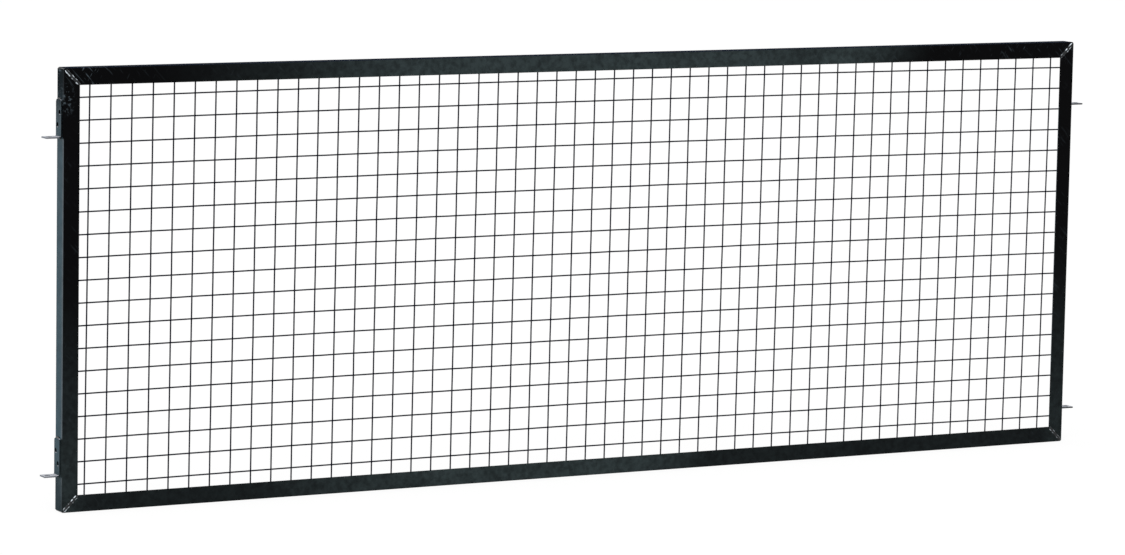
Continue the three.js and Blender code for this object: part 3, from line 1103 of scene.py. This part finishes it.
class MESHPANEL_OT_brackets(bpy.types.Operator):
    """Bend and drill the four brackets"""

    bl_idname = "mesh_panel.brackets"
    bl_label = "Brackets"

    def execute(self, context):
        sizes = context.scene.mesh_panel.bracket
        thickness = sizes.thickness
        for name in BRACKETS:
            node = f"{name}_bracket"
            low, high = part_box(node)
            size = high - low
            side = side_of(name)
            turn = Matrix.Rotation(0 if side < 0 else 2 * QUARTER_TURN, 4, "Z")
            foot = Vector((side, (low.y + high.y) / 2, low.z))
            placement = Matrix.Translation(foot) @ turn
            bm = bracket_bar(sizes, size.y, size.z, size.x)
            bmesh.ops.transform(bm, matrix=placement, verts=bm.verts)
            bar = mesh_object(f"{name}_bent_bar", bm)
            cutters = bmesh.new()
            for place in bolt_holes(sizes, name):
                middle = across_side(place, -thickness / 2)
                drill(cutters, sizes.bolt_hole, thickness, sizes.hole_chamfer, middle)
            from_heel = size.x - sizes.tab_hole_from_end
            tab_hole = placement @ Matrix.Translation((-from_heel, 0, thickness / 2))
            drill(cutters, sizes.tab_hole, thickness, sizes.hole_chamfer, tab_hole)
            cut_away(bar, mesh_object("bracket_holes", cutters))
            dress_bar(bar, "bracket_paint", node, context)
        return {"FINISHED"}


# ------------ wire sheet

WIRE_SIDES = 10
RINGS_PER_PITCH = 3
# Lumps to the metre of the sheet's buckles and its wires' kinks, and where each starts
# in the noise.
BUCKLES = (2.1, 2.6)
BUCKLE_SEED = 3.7
KINKS = 20
KINK_SEED = 1.3
# A nugget's depth, in wires, and how its width and height vary.
NUGGET_DEPTH = 0.3
NUGGET_SPREAD = (0.85, 1.1)
# Half sizes of a tack along its wire, across it, and into the panel, how they vary, and
# how lumpy it is.
TACK_RUN = 0.0052
TACK_WIDTH = 0.0031
UPRIGHT_TACK_DEPTH = 0.0021
LEVEL_TACK_DEPTH = 0.0034
TACK_SPREAD = (0.85, 1.12)
TACK_LUMPS = 420
TACK_LUMP_HEIGHT = 0.16


def wire_places(opening, pitch):
    """Places of evenly pitched wires, centred on an opening."""
    count = round(opening / pitch)
    return [(number - (count - 1) / 2) * pitch for number in range(count)]


def straight_wire(bm, sizes, run, placement):
    """Adds a wire along Z, centred on its placement, with rings that let it bend."""
    made = bmesh.ops.create_cone(
        bm, cap_ends=True, cap_tris=False, segments=WIRE_SIDES, radius1=sizes.wire / 2,
        radius2=sizes.wire / 2, depth=run, matrix=placement,
    )["verts"]
    edges = {edge for vert in made for edge in vert.link_edges}
    long_edges = [edge for edge in edges if edge.calc_length() > run / 2]
    cuts = round(run / sizes.pitch * RINGS_PER_PITCH)
    bmesh.ops.subdivide_edges(bm, edges=long_edges, cuts=cuts)


def sheet_lift(sizes, x):
    """How far the bowed sheet is raised at a place along it."""
    along = x / ((WIDTH - 2 * FLANGE) / 2)
    return sizes.end_difference / 2 * along - sizes.bow * along**2


def shape_sheet(bm, settings):
    """Bows and buckles what was laid out flat, and puts it in the frame."""
    noise.seed_set(NOISE_SEED)
    sizes = settings.sheet
    wire_plane = FRONT + settings.angle.steel + sizes.clearance + sizes.wire / 2
    for vert in bm.verts:
        x, y, z = vert.co
        # The buckle fades to nothing at the edges, where the wires meet the flanges.
        loose_x = 1 - (2 * x / WIDTH) ** 4
        loose_z = 1 - (2 * z / HEIGHT) ** 4
        free = max(0, loose_x) * max(0, loose_z)
        lump = noise.noise((x * BUCKLES[0], z * BUCKLES[1], BUCKLE_SEED))
        buckle = 0.5 + 0.5 * lump
        bend = noise.noise_vector((x * KINKS, z * KINKS, KINK_SEED))
        vert.co.x = x + sizes.shift + sizes.kink * bend.x * free
        vert.co.y = y + wire_plane + sizes.buckle * buckle * free
        lift = sizes.rise + sheet_lift(sizes, x)
        vert.co.z = z + HEIGHT / 2 + lift + sizes.kink * bend.z * free


class SheetLayout:
    """Where the wires of the flat sheet lie, from its middle."""

    def __init__(self, sizes):
        opening = Vector((WIDTH - 2 * FLANGE, HEIGHT - 2 * FLANGE))
        self.uprights = wire_places(opening.x, sizes.pitch)
        self.levels = wire_places(opening.y, sizes.pitch)
        self.level_run = opening.x + 2 * sizes.lap
        self.upright_run = opening.y + 2 * sizes.lap
        self.behind = sizes.wire - sizes.sink
        self.slope = math.tan(sizes.lean)


class MESHPANEL_OT_wire_sheet(bpy.types.Operator):
    """Lay out, bow and weld the wires of the mesh"""

    bl_idname = "mesh_panel.wire_sheet"
    bl_label = "Wire Sheet"

    def execute(self, context):
        settings = context.scene.mesh_panel
        sizes = settings.sheet
        layout = SheetLayout(sizes)
        bm = bmesh.new()
        leaning = Matrix.Rotation(sizes.lean, 4, "Y")
        for x in layout.uprights:
            placement = Matrix.Translation((x, 0, 0)) @ leaning
            straight_wire(bm, sizes, layout.upright_run, placement)
        flat = Matrix.Rotation(QUARTER_TURN, 4, "Y")
        for z in layout.levels:
            placement = Matrix.Translation((0, layout.behind, z)) @ flat
            straight_wire(bm, sizes, layout.level_run, placement)
        shape_sheet(bm, settings)
        wires = mesh_object("mesh_wires", bm)
        dress(wires, "wire_paint", ["welded_wire_mesh"], context)
        return {"FINISHED"}


class MESHPANEL_OT_crossing_welds(bpy.types.Operator):
    """Put the melted nugget in every crossing of the wires"""

    bl_idname = "mesh_panel.crossing_welds"
    bl_label = "Crossing Welds"

    def execute(self, context):
        settings = context.scene.mesh_panel
        sizes = settings.sheet
        layout = SheetLayout(sizes)
        draw = random.Random(5)
        depth = sizes.wire * NUGGET_DEPTH
        bm = bmesh.new()
        # Row by row, because each new sphere costs more in a larger mesh.
        for z in layout.levels:
            row = bmesh.new()
            for x in layout.uprights:
                wide = sizes.nugget * draw.uniform(*NUGGET_SPREAD)
                high = sizes.nugget * draw.uniform(*NUGGET_SPREAD)
                place = (x + z * layout.slope, layout.behind / 2, z)
                form = Matrix.Diagonal((wide, depth, high, 1))
                bmesh.ops.create_uvsphere(
                    row, u_segments=8, v_segments=5, radius=1,
                    matrix=Matrix.Translation(place) @ form,
                )
            add_to(bm, row)
        shape_sheet(bm, settings)
        dress(mesh_object("mesh_crossing_nuggets", bm), "wire_paint", [], context)
        return {"FINISHED"}


class MESHPANEL_OT_wire_tacks(bpy.types.Operator):
    """Tack the ends of the wires to the backs of the flanges"""

    bl_idname = "mesh_panel.wire_tacks"
    bl_label = "Wire Tacks"

    def execute(self, context):
        settings = context.scene.mesh_panel
        sizes = settings.sheet
        layout = SheetLayout(sizes)
        draw = random.Random(9)
        bm = bmesh.new()
        halves = (TACK_WIDTH, UPRIGHT_TACK_DEPTH, TACK_RUN)
        for x in layout.uprights:
            for end in (-1, 1):
                z = end * (layout.upright_run / 2 - TACK_RUN)
                place = Vector((x + z * layout.slope, -sizes.wire / 6, z))
                self.tack(bm, place, halves, draw)
        halves = (TACK_RUN, LEVEL_TACK_DEPTH, TACK_WIDTH)
        for z in layout.levels:
            for end in (-1, 1):
                x = end * (layout.level_run / 2 - TACK_RUN)
                place = Vector((x, layout.behind / 3, z))
                self.tack(bm, place, halves, draw)
        shape_sheet(bm, settings)
        dress(mesh_object("wire_end_tacks", bm), "weld_paint", [], context)
        return {"FINISHED"}

    def tack(self, bm, place, halves, draw):
        """Adds one lump of weld, each a little different."""
        form = [half * draw.uniform(*TACK_SPREAD) for half in halves]
        ball = Matrix.Translation(place) @ Matrix.Diagonal((*form, 1))
        made = bmesh.ops.create_icosphere(bm, subdivisions=2, radius=1, matrix=ball)
        seed = draw.random() * 100
        for vert in made["verts"]:
            lump = noise.noise(vert.co * TACK_LUMPS + Vector((seed, 0, 0)))
            vert.co = place + (vert.co - place) * (1 + TACK_LUMP_HEIGHT * lump)


# ------------ studio

WHITE = (1, 1, 1)
# Tones of the floor, and how much of what is seen of it is its own even white.
FLOOR_GREYS = (0.93, 0.95)
FLOOR_SPECKS = 3
FLOOR_WHITE = 0.88


def seen_rays(nodes):
    """Is 1 for rays that show the background: straight, mirrored or through glass."""
    rays = nodes.add("ShaderNodeLightPath").outputs
    mirrored = nodes.maths("MAXIMUM", rays["Is Camera Ray"], rays["Is Glossy Ray"])
    return nodes.maths("MAXIMUM", mirrored, rays["Is Transmission Ray"])


def studio_world(scene, ambient):
    """Even light from all round, that shows white behind and in reflections."""
    scene.world = bpy.data.worlds.new("studio")
    nodes = Nodes(scene.world)
    nodes.tree.nodes.clear()
    light = nodes.add("ShaderNodeBackground", Color=WHITE, Strength=ambient)
    white = nodes.add("ShaderNodeBackground", Color=WHITE)
    nodes.end_in_mix("ShaderNodeOutputWorld", seen_rays(nodes), light, white)


def floor_material():
    """Matt white floor that keeps the panel's soft shadow."""
    material = bpy.data.materials.new("studio_floor")
    nodes = Nodes(material)
    nodes.tree.nodes.clear()
    place = nodes.add("ShaderNodeTexCoord").outputs["Object"]
    speck = nodes.add("ShaderNodeTexNoise", Vector=place, Scale=FLOOR_SPECKS)
    tone = nodes.add("ShaderNodeValToRGB", Fac=speck.outputs["Fac"])
    for stop, grey in zip(tone.color_ramp.elements, FLOOR_GREYS):
        stop.color = (grey, grey, grey, 1)
    matt = nodes.add("ShaderNodeBsdfDiffuse", Color=tone.outputs["Color"])
    white = nodes.add("ShaderNodeEmission")
    amount = nodes.maths("MULTIPLY", seen_rays(nodes), FLOOR_WHITE)
    nodes.end_in_mix("ShaderNodeOutputMaterial", amount, matt, white)
    return material


def lamp(name, kind, place, target, energy, size):
    """A lamp aimed at a point. Its size is an angle on a sun and a width on an area."""
    data = bpy.data.lights.new(name, kind)
    data.energy = energy
    if kind == "SUN":
        data.angle = size
    else:
        data.shape = "SQUARE"
        data.size = size
    made = bpy.data.objects.new(name, data)
    made.location = place
    aim = Vector(target) - Vector(place)
    made.rotation_euler = aim.to_track_quat("-Z", "Y").to_euler()
    bpy.context.scene.collection.objects.link(made)


def set_camera(scene, studio):
    """The photograph's viewpoint: turned to the right, tilted down and rolled."""
    turn, tilt, roll = studio.camera_turn
    turned = Matrix.Rotation(-turn, 4, "Z")
    level = turned @ Matrix.Rotation(QUARTER_TURN + tilt, 4, "X")
    data = bpy.data.cameras.new("camera")
    data.lens = studio.lens
    data.sensor_fit = "HORIZONTAL"
    data.clip_end = 4 * studio.floor_reach
    made = bpy.data.objects.new("camera", data)
    place = Matrix.Translation(studio.camera_place)
    made.matrix_world = place @ level @ Matrix.Rotation(roll, 4, "Z")
    scene.collection.objects.link(made)
    scene.camera = made


class MESHPANEL_OT_studio(bpy.types.Operator):
    """Set the floor, the lamps and the camera"""

    bl_idname = "mesh_panel.studio"
    bl_label = "Studio"

    def execute(self, context):
        scene = context.scene
        studio = scene.mesh_panel.studio
        scene.view_settings.view_transform = "Standard"
        studio_world(scene, studio.ambient)
        bm = bmesh.new()
        bmesh.ops.create_grid(bm, x_segments=1, y_segments=1, size=studio.floor_reach)
        floor = mesh_object("floor", bm)
        floor.data.materials.append(floor_material())
        middle = (0, 0, HEIGHT / 2)
        lamp("key", "SUN", (-3, -5, 7), middle, studio.key, math.radians(50))
        lamp("rim", "AREA", (-4.6, 4.2, 1.4), middle, studio.rim, 2.4)
        corner = (LEFT, FRONT, TOP)
        lamp("left_glint", "AREA", (-4.2, -4.4, 2.9), corner, studio.glint, 0.2)
        corner = (RIGHT, FRONT, TOP)
        lamp("right_glint", "AREA", (1.6, -5.2, 3.4), corner, studio.glint, 0.2)
        set_camera(scene, studio)
        return {"FINISHED"}


# ------------ add-on

STEPS = (
    MESHPANEL_OT_studio,
    MESHPANEL_OT_frame_sides,
    MESHPANEL_OT_mitre_welds,
    MESHPANEL_OT_corner_welds,
    MESHPANEL_OT_brackets,
    MESHPANEL_OT_bracket_welds,
    MESHPANEL_OT_wire_sheet,
    MESHPANEL_OT_crossing_welds,
    MESHPANEL_OT_wire_tacks,
)


class MESHPANEL_PT_sidebar(bpy.types.Panel):
    """Lists the steps that make the panel, and its sizes"""

    bl_idname = "MESHPANEL_PT_sidebar"
    bl_label = "Welded Mesh Panel"
    bl_space_type = "VIEW_3D"
    bl_region_type = "UI"
    bl_category = "Mesh Panel"

    def draw(self, context):
        settings = context.scene.mesh_panel
        for step in STEPS:
            self.layout.operator(step.bl_idname)
        for group in PanelSettings.__annotations__:
            box = self.layout.box()
            box.label(text=group.title())
            sizes = getattr(settings, group)
            for name in sizes.__annotations__:
                box.prop(sizes, name)


CLASSES = (
    AngleSizes,
    WeldSizes,
    BracketSizes,
    SheetSizes,
    PaintColours,
    StudioSettings,
    PanelSettings,
    *STEPS,
    MESHPANEL_PT_sidebar,
)


def register():
    for cls in CLASSES:
        bpy.utils.register_class(cls)
    bpy.types.Scene.mesh_panel = PointerProperty(type=PanelSettings)


def unregister():
    del bpy.types.Scene.mesh_panel
    for cls in reversed(CLASSES):
        bpy.utils.unregister_class(cls)


def main():
    """Makes the whole panel."""
    register()
    for step in STEPS:
        group, name = step.bl_idname.split(".")
        getattr(getattr(bpy.ops, group), name)()


if __name__ == "__main__":
    main()
